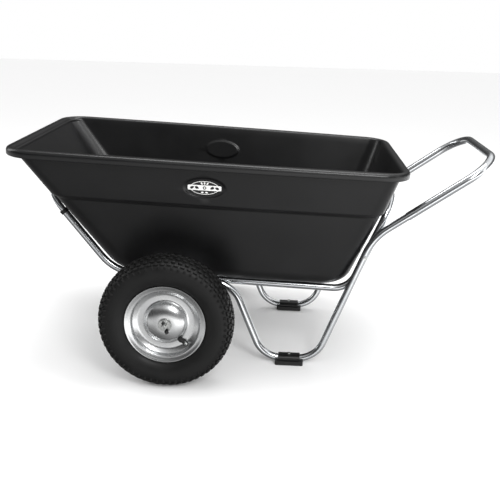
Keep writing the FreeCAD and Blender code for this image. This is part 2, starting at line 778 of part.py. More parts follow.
def make_tyre():
    """Pneumatic tyre: crown, shoulders, bulged side walls and beads on the rim's seats."""
    shoulder = (half_tyre - 8, tyre_r - 14)
    lower = (half_rim + 1, flange_r + 5)
    outside = [(0, tyre_r), ((half_tyre * 0.5, tyre_r - 3), shoulder), ((half_tyre, flank_r), lower),
               (half_rim - 2.5, flange_r + 2), (bead_out, flange_r - 8), (bead_out, seat_r)]
    toe = bead_out - tyre_wall
    inside = [(toe, seat_r), (toe, seat_r + 4), (bead_out - 3, flange_r),
              ((half_tyre - 7, flank_r), (half_tyre - 15, tyre_r - 24)),
              ((half_tyre * 0.4, tyre_r - 13), (0, tyre_r - tyre_wall))]
    half = turned(outside + inside)
    other = half.mirror(V(0, 0, 0), ACROSS)
    return half.fuse(other).removeSplitter()


def make_inner_tube():
    """Air tube inside the tyre."""
    radius = min((tyre_r - tyre_wall - seat_r - 4) / 2, half_tyre - tyre_wall) - part_gap
    middle = tyre_r - tyre_wall - part_gap - radius
    outer = Part.makeTorus(middle, radius, V(0, 0, 0), ACROSS)
    return outer.cut(Part.makeTorus(middle, radius - tube_rubber, V(0, 0, 0), ACROSS))


def make_valve_stem():
    return at_valve(valve_axis(valve_root + valve_length, valve_d / 2))


def make_valve_cap():
    start = valve_spot + valve_way * (valve_length + part_gap)
    return at_valve(cylinder(cap_d / 2, start, valve_way, cap_length))


def wheel_pieces():
    """Every piece of one wheel by name, about the origin."""
    return {
        "tyre": make_tyre(),
        "inner_tube": make_inner_tube(),
        "rim_outer": make_rim_outer(),
        "rim_inner": make_rim_inner(),
        "hub_tube": make_hub_tube(),
        "bearing_outer": make_bearing(hub_out - bearing_width),
        "bearing_inner": make_bearing(-hub_in),
        "valve_stem": make_valve_stem(),
        "valve_cap": make_valve_cap(),
    }


# ---------------------------------------------------------------- the cart
def build():
    """All nodes by name, in the cart's axes."""
    nodes = {
        "tub": make_tub(),
        "cradle_tube": make_cradle_tube(),
        "front_loop": make_front_loop(),
        "handle_loop": make_handle_loop(),
        "axle": make_axle(),
        "side_bolts": make_side_bolts(),
        "side_nuts": make_side_nuts(),
        "rail_rivets": make_rail_rivets(),
    }
    front_way = on_front_slope(1) - on_front_slope(0)
    paired = {
        "leg_tube": make_leg_tube(),
        "badge": mirrored(make_badge()),
        "rail_collar": make_collar(),
        "front_button": make_snap_button(front_button_spot(), frame_r, front_way),
        "handle_button": make_snap_button(handle_button_spot(), handle_r, handle_way),
        "foot_pad": make_foot_pad(),
        "foot_saddle": make_foot_saddle(),
        "foot_bolt": make_foot_bolt(),
        "axle_hanger": make_axle_hanger(),
        "axle_spacer": make_spacer(),
        "axle_washer": make_washer(),
        "axle_pin": make_axle_pin(),
    }
    wheel = wheel_pieces()
    for side, sign in SIDES:
        for name, shape in paired.items():
            nodes[name + "_" + side] = on_side(shape, sign)
        for name, shape in wheel.items():
            nodes[name + "_" + side] = at_wheel(shape, sign)
    return nodes


def write(nodes):
    """One STEP file per node, with the origin at the middle of the cart on the ground."""
    os.makedirs("parts", exist_ok=True)
    for name, shape in nodes.items():
        shape = shape.copy()
        shape.translate(V(-centre_x, 0, 0))
        shape.exportStep("parts/" + name + ".step")


write(build())
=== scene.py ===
"""Looks of a garden cart: moulded tub, bright tube frame, pneumatic wheels, padded feet."""

import json
import logging
import math
from dataclasses import dataclass, field
from enum import Enum
from typing import Iterable, Optional, Sequence

import bpy
from mathutils import Matrix, Quaternion, Vector

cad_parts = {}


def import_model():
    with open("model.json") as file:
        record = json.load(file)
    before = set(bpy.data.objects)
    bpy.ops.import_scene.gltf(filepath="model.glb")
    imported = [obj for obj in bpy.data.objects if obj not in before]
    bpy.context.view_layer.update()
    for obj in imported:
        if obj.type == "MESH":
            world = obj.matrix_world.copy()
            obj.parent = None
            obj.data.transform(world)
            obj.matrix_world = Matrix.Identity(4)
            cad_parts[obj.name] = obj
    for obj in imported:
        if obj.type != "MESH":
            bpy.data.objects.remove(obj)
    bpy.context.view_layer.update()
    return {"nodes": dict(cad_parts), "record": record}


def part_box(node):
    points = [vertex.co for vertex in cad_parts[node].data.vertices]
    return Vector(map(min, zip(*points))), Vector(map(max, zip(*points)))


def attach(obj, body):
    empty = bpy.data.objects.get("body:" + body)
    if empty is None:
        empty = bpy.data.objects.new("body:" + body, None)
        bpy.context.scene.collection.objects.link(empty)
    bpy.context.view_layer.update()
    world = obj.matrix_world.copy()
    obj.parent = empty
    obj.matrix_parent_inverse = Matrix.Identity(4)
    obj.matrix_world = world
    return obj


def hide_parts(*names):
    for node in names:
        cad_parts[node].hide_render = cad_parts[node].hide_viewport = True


LOG = logging.getLogger("garden_cart")
MM = 0.001
WALLS = ("front", "rear", "side")
MOTTLE = (0.35, 0.65)    # part of the noise over which one tone turns into the other
Ring = list[Vector]
Line = list[tuple[float, float]]


class Side(Enum):
    """The two sides of the cart and the way each faces along Y."""

    LEFT = -1
    RIGHT = 1

    @property
    def word(self) -> str:
        """Name ending of this side's nodes."""
        return self.name.lower()


# ---------------------------------------------------------------- materials
def linear(hex_colour: str) -> tuple[float, float, float, float]:
    """Turn an sRGB colour into the linear values a shader takes.

    Args:
        hex_colour: six hex digits.

    Returns:
        Linear red, green, blue and an alpha of one.
    """
    parts = [int(hex_colour[i:i + 2], 16) / 255 for i in (0, 2, 4)]
    flat = [c / 12.92 if c <= 0.04045 else ((c + 0.055) / 1.055) ** 2.4 for c in parts]
    return (*flat, 1.0)


def add_node(tree: bpy.types.NodeTree, kind: str, settings: Optional[dict] = None,
             links: Optional[dict] = None) -> bpy.types.Node:
    """Add a node, set its values and join its inputs.

    Args:
        tree: the material's node tree.
        kind: the node's type name.
        settings: attribute or input names (or input numbers) with their values.
        links: input names or numbers with the sockets that feed them.

    Returns:
        The new node.
    """
    node = tree.nodes.new(kind)
    for key, value in (settings or {}).items():
        if isinstance(key, str) and hasattr(node, key):
            setattr(node, key, value)
        else:
            node.inputs[key].default_value = value
    for key, socket in (links or {}).items():
        tree.links.new(socket, node.inputs[key])
    return node


@dataclass(frozen=True)
class Finish:
    """A surface finish: what it is made of, its colours, its gloss and its fine relief."""

    name: str
    colour: str
    colour_two: str
    roughness: float
    roughness_two: float
    metallic: float = 0.0
    ior: float = 1.5
    mottle_mm: float = 60.0      # size of the slow change of colour and gloss
    grain_mm: float = 1.2        # size of the fine relief
    grain_depth_mm: float = 0.02
    grain_way: tuple[float, float, float] = (1.0, 1.0, 1.0)
    coat: float = 0.0
    specular: float = 0.5

    def build(self) -> bpy.types.Material:
        """Make the material.

        Returns:
            A node material that reads the piece's own coordinates.
        """
        material = bpy.data.materials.new(self.name)
        material.use_nodes = True
        tree = material.node_tree
        tree.nodes.clear()
        place = add_node(tree, "ShaderNodeTexCoord")
        mottle = add_node(tree, "ShaderNodeTexNoise",
                          {"Scale": 1 / (self.mottle_mm * MM), "Detail": 4.0},
                          {"Vector": place.outputs["Object"]})
        colour = add_node(tree, "ShaderNodeValToRGB", {}, {"Fac": mottle.outputs["Fac"]})
        ramp = colour.color_ramp
        ramp.elements[0].position, ramp.elements[1].position = MOTTLE
        ramp.elements[0].color = linear(self.colour)
        ramp.elements[1].color = linear(self.colour_two)
        gloss = add_node(tree, "ShaderNodeMapRange",
                         {"From Min": MOTTLE[0], "From Max": MOTTLE[1],
                          "To Min": self.roughness, "To Max": self.roughness_two},
                         {"Value": mottle.outputs["Fac"]})
        stretch = add_node(tree, "ShaderNodeMapping", {"Scale": self.grain_way},
                           {"Vector": place.outputs["Object"]})
        grain = add_node(tree, "ShaderNodeTexNoise",
                         {"Scale": 1 / (self.grain_mm * MM), "Detail": 3.0},
                         {"Vector": stretch.outputs["Vector"]})
        relief = add_node(tree, "ShaderNodeBump",
                          {"Strength": 1.0, "Distance": self.grain_depth_mm * MM},
                          {"Height": grain.outputs["Fac"]})
        shader = add_node(tree, "ShaderNodeBsdfPrincipled",
                          {"Metallic": self.metallic, "IOR": self.ior, "Coat Weight": self.coat,
                           "Specular IOR Level": self.specular},
                          {"Base Color": colour.outputs["Color"],
                           "Roughness": gloss.outputs["Result"],
                           "Normal": relief.outputs["Normal"]})
        add_node(tree, "ShaderNodeOutputMaterial", {}, {"Surface": shader.outputs["BSDF"]})
        return material


# Rotomoulded polyethylene: black, satin, with the faint orange peel of the mould.
POLYETHYLENE = Finish("rotomoulded_polyethylene", "0a0a0b", "0d0d0e", 0.31, 0.36, ior=1.51,
                      mottle_mm=120, grain_mm=2.5, grain_depth_mm=0.03)
# Bright drawn aluminium: clear, with faint drawing lines and small changes of gloss.
DRAWN_ALUMINIUM = Finish("drawn_aluminium", "dcdee0", "d2d5d8", 0.17, 0.23, 1.0, mottle_mm=40,
                         grain_mm=0.8, grain_depth_mm=0.006, grain_way=(0.1, 1.0, 1.0))
# Silver lacquer on pressed steel: even, softly metallic.
SILVER_LACQUER = Finish("silver_lacquer", "dcdddd", "d6d7d8", 0.25, 0.29, 1.0, mottle_mm=60,
                        grain_mm=0.6, grain_depth_mm=0.004)
# Zinc plating on steel: bright, slightly cloudy.
ZINC_PLATE = Finish("zinc_plate", "cfd0ce", "a9abaa", 0.22, 0.36, 1.0, mottle_mm=6,
                    grain_mm=0.5, grain_depth_mm=0.01)
# Vulcanised tyre rubber: near black and dull, its gloss slightly uneven.
TYRE_RUBBER = Finish("tyre_rubber", "0e0e0e", "131313", 0.46, 0.6, ior=1.52, mottle_mm=35,
                     grain_mm=0.9, grain_depth_mm=0.05, specular=0.3)
# Moulded rubber of the feet: deep black, dull.
FOOT_RUBBER = Finish("moulded_rubber", "0c0c0c", "161616", 0.5, 0.7, ior=1.52, mottle_mm=15,
                     grain_mm=0.8, grain_depth_mm=0.05)
# Injection moulded nylon: black, satin.
BLACK_NYLON = Finish("black_nylon", "0a0a0b", "101011", 0.32, 0.42, ior=1.53, mottle_mm=12,
                     grain_mm=0.6, grain_depth_mm=0.02)
# Printed plate: gloss black lacquer and off-white ink.
BADGE_BLACK = Finish("badge_black_lacquer", "0d0d0e", "121213", 0.25, 0.3, mottle_mm=20,
                     grain_depth_mm=0.005, coat=0.4)
BADGE_WHITE = Finish("badge_white_ink", "eeeeec", "e4e4e2", 0.3, 0.38, mottle_mm=20,
                     grain_depth_mm=0.005)


class Finishes:
    """All finishes, each built once."""

    def __init__(self) -> None:
        """Start with nothing built."""
        self._made: dict[str, bpy.types.Material] = {}

    def get(self, finish: Finish) -> bpy.types.Material:
        """Return the material of a finish.

        Args:
            finish: which finish.

        Returns:
            Its material, built at the first call.
        """
        if finish.name not in self._made:
            self._made[finish.name] = finish.build()
        return self._made[finish.name]


# ---------------------------------------------------------------- mesh helpers
def deselect() -> None:
    """Leave nothing selected."""
    bpy.ops.object.select_all(action="DESELECT")


def make_active(piece: bpy.types.Object) -> None:
    """Select one object only and make it active.

    Args:
        piece: the object.
    """
    deselect()
    piece.select_set(True)
    bpy.context.view_layer.objects.active = piece


def dress(piece: bpy.types.Object, material: bpy.types.Material) -> None:
    """Give a piece one material."""
    piece.data.materials.clear()
    piece.data.materials.append(material)


def tidy(piece: bpy.types.Object, angle: float = 40.0, merge_mm: float = 0.02) -> None:
    """Merge doubles, turn the faces outwards and shade smooth up to an angle.

    Args:
        piece: a closed mesh.
        angle: sharpest smooth edge, in degrees.
        merge_mm: distance under which points are one.
    """
    make_active(piece)
    bpy.ops.object.mode_set(mode="EDIT")
    bpy.ops.mesh.select_all(action="SELECT")
    bpy.ops.mesh.remove_doubles(threshold=merge_mm * MM)
    bpy.ops.mesh.dissolve_degenerate(threshold=1e-6)
    bpy.ops.mesh.normals_make_consistent(inside=False)
    bpy.ops.object.mode_set(mode="OBJECT")
    bpy.ops.object.shade_smooth_by_angle(angle=math.radians(angle))


def skin(name: str, rings: Sequence[Ring], angle: float = 40.0) -> bpy.types.Object:
    """Wrap a grid round a row of rings that all have as many points; a pole is a ring in one place.

    Args:
        name: the piece's name.
        rings: points in metres, first ring and last ring closed to poles or to each other.
        angle: sharpest smooth edge, in degrees.

    Returns:
        A closed mesh object at the origin.
    """
    deselect()
    count = len(rings[0])
    bpy.ops.mesh.primitive_grid_add(x_subdivisions=count, y_subdivisions=len(rings) - 1, size=1)
    piece = bpy.context.active_object
    piece.name = name
    piece.data.name = name
    places = [ring[i % count] for ring in rings for i in range(count + 1)]
    assert len(places) == len(piece.data.vertices)
    flat = [c for place in places for c in place]
    piece.data.vertices.foreach_set("co", flat)
    piece.data.update()
    tidy(piece, angle)
    return piece


def turned(name: str, profile: Line, centre: Vector, out: Vector, steps: int = 144,
           closed: bool = True, angle: float = 35.0) -> bpy.types.Object:
    """Turn a profile about an axis.

    Args:
        name: the piece's name.
        profile: (along, radius) pairs in mm.
        centre: the axis's zero point, in metres.
        out: the axis's direction.
        steps: points round the axis.
        closed: join the profile's end to its start.
        angle: sharpest smooth edge, in degrees.

    Returns:
        The turned piece.
    """
    turn = out.to_track_quat("Z", "Y")
    turns = [2 * math.pi * i / steps for i in range(steps)]
    spots = [(math.cos(t), math.sin(t)) for t in turns]
    rings = [[centre + turn @ Vector((r * MM * c, r * MM * s, along * MM)) for c, s in spots]
             for along, r in profile]
    if closed:
        rings.append(rings[0])
    return skin(name, rings, angle)


def rounded(points: Line, radius: float, steps: int = 4) -> Line:
    """Round the inner corners of a line of points.

    Args:
        points: the line, in mm.
        radius: largest corner radius; short runs get less.
        steps: points on each round.

    Returns:
        The line with each inner corner replaced by a small curve.
    """
    made = [points[0]]
    for before, here, after in zip(points, points[1:], points[2:]):
        a, b, c = Vector(before), Vector(here), Vector(after)
        cut = min(radius, (a - b).length * 0.45, (c - b).length * 0.45)
        start, end = b + (a - b).normalized() * cut, b + (c - b).normalized() * cut
        for i in range(steps + 1):
            t = i / steps
            spot = start * (1 - t) ** 2 + b * 2 * t * (1 - t) + end * t ** 2
            made.append((spot.x, spot.y))
    made.append(points[-1])
    return made


def thick(line: Line, thickness: float) -> Line:
    """Closed profile of sheet: a line and the same line moved square to itself.

    Args:
        line: points in mm.
        thickness: how far the second line lies to the right of the first.

    Returns:
        The closed profile.
    """
    moved = []
    for i, here in enumerate(line):
        before, after = line[max(i - 1, 0)], line[min(i + 1, len(line) - 1)]
        way = Vector((after[0] - before[0], after[1] - before[1])).normalized()
        moved.append((here[0] + way.y * thickness, here[1] - way.x * thickness))
    return list(line) + moved[::-1]


def joined(name: str, pieces: Sequence[bpy.types.Object]) -> bpy.types.Object:
    """Join meshes into one object.

    Args:
        name: name of the joined object.
        pieces: the meshes, which are used up.

    Returns:
        The joined object.
    """
    deselect()
    for piece in pieces:
        piece.select_set(True)
    bpy.context.view_layer.objects.active = pieces[0]
    bpy.ops.object.join()
    whole = bpy.context.active_object
    whole.name = name
    whole.data.name = name
    return whole


def copied(piece: bpy.types.Object, places: Iterable[Matrix], name: str) -> bpy.types.Object:
    """Copies of a piece, each with its own mesh moved by a matrix, joined into one object.

    Args:
        piece: the model, which is used up.
        places: one matrix for each copy.
        name: name of the joined object.

    Returns:
        The joined object.
    """
    copies = []
    for place in places:
        mesh = piece.data.copy()
        mesh.transform(place)
        if place.determinant() < 0:
            mesh.flip_normals()
        copy = bpy.data.objects.new(name, mesh)
        bpy.context.collection.objects.link(copy)
        copies.append(copy)
    bpy.data.objects.remove(piece)
    return joined(name, copies)


def finished(piece: bpy.types.Object, body: str, material: bpy.types.Material,
             nodes: Sequence[str] = ()) -> bpy.types.Object:
    """Dress a piece and say what it rides on, replaces and takes its finish from.

    Args:
        piece: the mesh.
        body: the moving body it rides on.
        material: its material.
        nodes: the CAD nodes whose place it takes.

    Returns:
        The same piece.
    """
    dress(piece, material)
    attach(piece, body)
    if nodes:
        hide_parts(*nodes)
    LOG.info("%s: %d faces", piece.name, len(piece.data.polygons))
    return piece


def smooth_step(low: float, high: float, value: float) -> float:
    """Ease from nought at low to one at high."""
    t = min(1.0, max(0.0, (value - low) / (high - low)))
    return t * t * (3 - 2 * t)


# ---------------------------------------------------------------- the cart's axes
@dataclass(frozen=True)
class Axes:
    """Where the axle is, and the tilted axes of the tub and cradle."""

    axle: Vector
    tilt: float = math.radians(2.06)
    rail_rise: float = 68.8

    @classmethod
    def read(cls) -> "Axes":
        """Take the axle's place from the frame."""
        low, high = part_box("axle")
        return cls((Vector(low) + Vector(high)) / 2)

    def world(self, u: float, y: float, w: float) -> Vector:
        """Turn a point of the tilted axes into the cart's own.

        Args:
            u: mm along the rails from the axle.
            y: mm from the cart's middle plane.
            w: mm above the rails.

        Returns:
            The point in the cart's own axes, in metres.
        """
        c, s = math.cos(self.tilt), math.sin(self.tilt)
        x, z = u * c + w * s, self.rail_rise - u * s + w * c
        return self.axle + Vector((x, y, z)) * MM


# ---------------------------------------------------------------- tub
@dataclass(frozen=True)
class Wall:
    """One side of the tub: its place under the lip, its leans and its curve into the floor."""

    top: float
    lean_upper: float
    lean_lower: float
    floor_round: float


@dataclass
class Tub:
    """Moulded tub with a belt ledge, a rolled lip and a badge recess on each side. Sizes in mm."""

    axes: Axes
    length: float = 1181.0
    width: float = 699.0
    depth: float = 383.6
    front: float = 499.0
    wall: float = 4.5
    lip_overhang: float = 28.0
    lip_height: float = 23.0
    lip_round: float = 11.0
    lip_nose: float = 10.0
    lip_corner: float = 18.0
    belt_drop: float = 138.6
    belt_step: float = 8.0
    belt_rise: float = 4.0
    side_taper: float = 0.0274
    side_bow: float = 12.0
    corner_low: float = 92.0
    corner_high: float = 48.0
    floor_w: float = 11.4
    badge_u: float = 89.0
    badge_drop: float = 80.0
    recess_half: tuple[float, float] = (59.0, 30.0)
    recess_depth: float = 3.0
    belt_soft: float = 5.0        # how far the ledge's curve runs past its two edges
    lip_inner: float = 7.0        # round on the lip's inner edge
    floor_bend: float = 43.0      # height of the close rows at the floor's curve
    column_inset: float = 56.0    # from an end wall to the side's first column
    close_reach: float = 66.0     # half the length with close columns, at the badge
    close_height: float = 33.0    # half the height with close rows, at the badge
    corner_steps: int = 14
    end_steps: int = 6
    leans: dict[str, tuple[float, float, float]] = field(default_factory=lambda: {
        "front": (0.735, 0.745, 105.0), "rear": (0.27, 0.329, 60.0), "side": (0.19, 0.19, 50.0)})

    def __post_init__(self) -> None:
        """Work out the walls and levels."""
        tops = {"front": self.front - self.lip_nose, "rear": self.length - self.front,
                "side": self.width / 2}
        self.walls = {name: Wall(top - self.lip_overhang, *self.leans[name])
                      for name, top in tops.items()}
        self.belt = self.depth - self.belt_drop - self.belt_rise
        self.lip_base = self.depth - self.lip_height

    def reach(self, name: str, height: float, inset: float) -> float:
        """Distance of a wall's face from the axle or the middle.

        Args:
            name: which wall.
            height: above the tub's underside.
            inset: the wall's thickness for the inner face, nought for the outer.

        Returns:
            The distance in mm.
        """
        wall = self.walls[name]
        upper = wall.top - wall.lean_upper * (self.lip_base - height)
        upper -= inset * math.hypot(1, wall.lean_upper)
        foot = (wall.top - wall.lean_upper * (self.lip_base - self.belt - self.belt_rise)
                - self.belt_step - wall.lean_lower * self.belt)
        foot -= inset * math.hypot(1, wall.lean_lower)
        radius = wall.floor_round - inset
        slope = math.atan(wall.lean_lower)
        bend_top = radius * (1 - math.sin(slope)) + inset
        lower = foot + wall.lean_lower * height
        if height < bend_top:
            middle = foot + wall.lean_lower * bend_top - radius * math.cos(slope)
            rise = 1 - (height - inset) / radius
            lower = middle + radius * math.sqrt(max(0.0, 1 - rise * rise))
        share = smooth_step(self.belt + inset - self.belt_soft,
                            self.belt + self.belt_rise + inset + self.belt_soft, height)
        return lower * (1 - share) + upper * share

    def plan(self, height: float, inset: float = 0.0, spread: float = 0.0, shrink: float = 1.0,
             level: Optional[float] = None) -> Ring:
        """Ring of points round the tub at a height.

        Args:
            height: above the tub's underside.
            inset: the wall's thickness for the inner face.
            spread: further out, for the lip.
            shrink: scale about the middle, for the floor.
            level: height at which the walls are taken, for the upright lip.

        Returns:
            Points in the cart's axes.
        """
        share = 0.0 if level is None else spread / self.lip_overhang
        level = height if level is None else level
        front, rear, half = (self.reach(n, level, inset) + spread for n in WALLS)
        side = self.walls["side"]
        plain = side.top - side.lean_upper * (self.lip_base - level)
        if level < self.belt + inset:
            plain -= self.belt_step
        corner = self.corner_low + (self.corner_high - self.corner_low) * level / self.lip_base
        corner += min(0.0, half - spread - plain) + spread + self.lip_corner * share
        front += self.lip_nose * share
        length, middle = front + rear, (rear - front) / 2
        bow = self.side_bow * (length / self.length) ** 2
        nose = half - bow + self.side_taper * length / 2
        tail = half - bow - self.side_taper * length / 2
        centre, big = self.circle(Vector((-front, nose)), Vector((middle, half)),
                                  Vector((rear, tail)))
        points: list[Vector] = []
        corners = []
        for end, inward in ((-front, 1), (rear, -1)):
            x = end + inward * corner
            y = centre.y + math.sqrt((big - corner) ** 2 - (x - centre.x) ** 2)
            out = (Vector((x, y)) - centre).normalized()
            corners.append((Vector((x, y)), math.atan2(0, -inward), math.atan2(out.y, out.x)))
        (hub_a, start_a, end_a), (hub_b, start_b, end_b) = corners
        steps = self.corner_steps
        for i in range(steps):
            turn = start_a + (end_a - start_a) * i / steps
            points.append(hub_a + Vector((math.cos(turn), math.sin(turn))) * corner)
        left = hub_a.x + math.cos(end_a) * corner
        right = hub_b.x + math.cos(end_b) * corner
        for along in self.columns():
            x = left + (right - left) * along
            points.append(Vector((x, centre.y + math.sqrt(big ** 2 - (x - centre.x) ** 2))))
        for i in range(steps):
            turn = end_b + (start_b - end_b) * (i + 1) / steps
            points.append(hub_b + Vector((math.cos(turn), math.sin(turn))) * corner)
        ends = self.end_steps
        rear_y, front_y = points[-1].y, points[0].y
        half_ring = points + [Vector((rear, rear_y * (1 - 2 * i / ends))) for i in range(1, ends)]
        other = [Vector((p.x, -p.y)) for p in points[::-1]]
        last = [Vector((-front, -front_y * (1 - 2 * i / ends))) for i in range(1, ends)]
        ring = []
        for p in half_ring + other + last:
            x, y = middle + (p.x - middle) * shrink, p.y * shrink
            if shrink == 1 and abs(y) > half / 2:
                y -= math.copysign(self.recess(x, height), y)
            ring.append(self.axes.world(x, y, height + self.floor_w))
        return ring

    @staticmethod
    def circle(a: Vector, b: Vector, c: Vector) -> tuple[Vector, float]:
        """Find the circle through three points.

        Args:
            a: first point.
            b: second point.
            c: third point.

        Returns:
            The centre and the radius.
        """
        d = 2 * (a.x * (b.y - c.y) + b.x * (c.y - a.y) + c.x * (a.y - b.y))
        aa, bb, cc = a.length_squared, b.length_squared, c.length_squared
        x = (aa * (b.y - c.y) + bb * (c.y - a.y) + cc * (a.y - b.y)) / d
        y = (aa * (c.x - b.x) + bb * (a.x - c.x) + cc * (b.x - a.x)) / d
        centre = Vector((x, y))
        return centre, (a - centre).length

    def columns(self) -> list[float]:
        """Place the mesh's columns along a side, close together at the badge.

        Returns:
            Shares of the side's length from nought to one, in order.
        """
        height = self.depth - self.badge_drop
        front, rear = (self.reach(n, height, 0) - self.column_inset for n in ("front", "rear"))
        place = (self.badge_u + front) / (front + rear)
        reach = self.close_reach / (front + rear)
        coarse_a = [place * i / 12 - reach * i / 12 for i in range(1, 12)]
        close = [place - reach + 2 * reach * i / 44 for i in range(45)]
        coarse_b = [place + reach + (1 - place - reach) * i / 15 for i in range(1, 15)]
        return [0.0] + coarse_a + close + coarse_b + [1.0]

    def recess(self, u: float, height: float) -> float:
        """Depth of the badge's recess at a place on the side.

        Args:
            u: mm along the tub from the axle.
            height: above the tub's underside.

        Returns:
            The depth in mm, nought outside the recess.
        """
        across = (u - self.badge_u) / self.recess_half[0]
        up = (height - self.depth + self.badge_drop) / self.recess_half[1]
        return self.recess_depth * (1 - smooth_step(0.93, 1.07, math.hypot(across, up)))

    def levels(self, inset: float) -> list[float]:
        """Place the mesh's rows: floor curve, lower wall, ledge, badge and upper wall.

        Args:
            inset: the wall's thickness for the inner face, nought for the outer.

        Returns:
            The heights in mm, in order.
        """
        rows = [inset + self.floor_bend * (1 - math.cos(math.radians(90 * i / 12)))
                for i in range(13)]
        rows += [70 + 24 * i for i in range(8)]
        ledge = self.belt + inset
        rows += [ledge - 8 + 1.4 * i for i in range(15)]
        badge = self.depth - self.badge_drop
        low, high = badge - self.close_height, badge + self.close_height
        rows += [low + (high - low) * i / 26 for i in range(27)]
        rows += [high + (self.lip_base - 2 - high) * i / 3 for i in range(1, 4)]
        return sorted(rows)

    def lip_rows(self) -> list[Ring]:
        """Rows under, round and over the rolled lip, from the outer wall to the inner one.

        Returns:
            The rings in order.
        """
        rows = []
        hollow = self.lip_base + self.lip_height - self.wall * 1.6
        edge = self.lip_overhang - self.wall
        under = [(0.0, self.lip_base), (0.0, hollow - 4), (1.5, hollow - 1), (5.0, hollow),
                 (edge - 5, hollow), (edge - 1.5, hollow - 1), (edge, hollow - 4),
                 (edge, self.lip_base + 2)]
        foot = self.wall / 2
        middle = self.lip_overhang - foot
        under += [(middle - foot * math.cos(math.radians(a)),
                   self.lip_base + foot - foot * math.sin(math.radians(a)))
                  for a in range(0, 181, 30)]
        outer = [(self.lip_overhang - self.lip_round * (1 - math.cos(math.radians(a))),
                  self.depth - self.lip_round * (1 - math.sin(math.radians(a))))
                 for a in range(0, 91, 10)]
        for spread, height in under + outer:
            rows.append(self.plan(height, 0.0, spread, level=self.lip_base))
        inner = self.lip_inner
        for a in range(0, 91, 15):
            height = self.depth - inner * (1 - math.cos(math.radians(a)))
            rows.append(self.plan(height, self.wall, inner * (1 - math.sin(math.radians(a)))))
        return rows

    def badge_seat(self, side: Side) -> Matrix:
        """Place a badge's seat.

        Args:
            side: which side.

        Returns:
            A matrix from mm on the seat to metres: X along, Y up the wall, Z outwards.
        """
        height = self.depth - self.badge_drop
        front, rear, half = (self.reach(n, height, 0.0) for n in WALLS)
        off = self.badge_u - (rear - front) / 2
        half -= self.side_taper * off + self.side_bow * (2 * off / self.length) ** 2
        spot = Vector((self.badge_u, side.value * half, height + self.floor_w))
        out = Vector((self.side_taper, side.value, -self.leans["side"][0])).normalized()
        along = (Vector((-side.value, 0, 0)) + out * side.value * out.x).normalized()
        start = spot - out * self.recess_depth
        place = Matrix((along, out.cross(along), out)).transposed().to_4x4()
        origin = self.axes.world(*start)
        turn = Matrix.Rotation(self.axes.tilt, 4, "Y")
        return Matrix.Translation(origin) @ turn @ place @ Matrix.Scale(MM, 4)

    def build(self, finishes: Finishes) -> bpy.types.Object:
        """Make the tub as one closed skin.

        Args:
            finishes: the finishes, each built once.

        Returns:
            The tub.
        """
        floor = [self.plan(0.0, 0.0, 0.0, share) for share in (0.0, 0.5, 0.92)]
        rows = floor + [self.plan(h) for h in self.levels(0.0)] + self.lip_rows()
        rows += [self.plan(h, self.wall) for h in self.levels(self.wall)[::-1]]
        rows += [self.plan(self.wall, self.wall, 0.0, share) for share in (0.92, 0.5, 0.0)]
        piece = skin("tub_shell", rows, 50.0)
        return finished(piece, "tub", finishes.get(POLYETHYLENE), ["tub"])


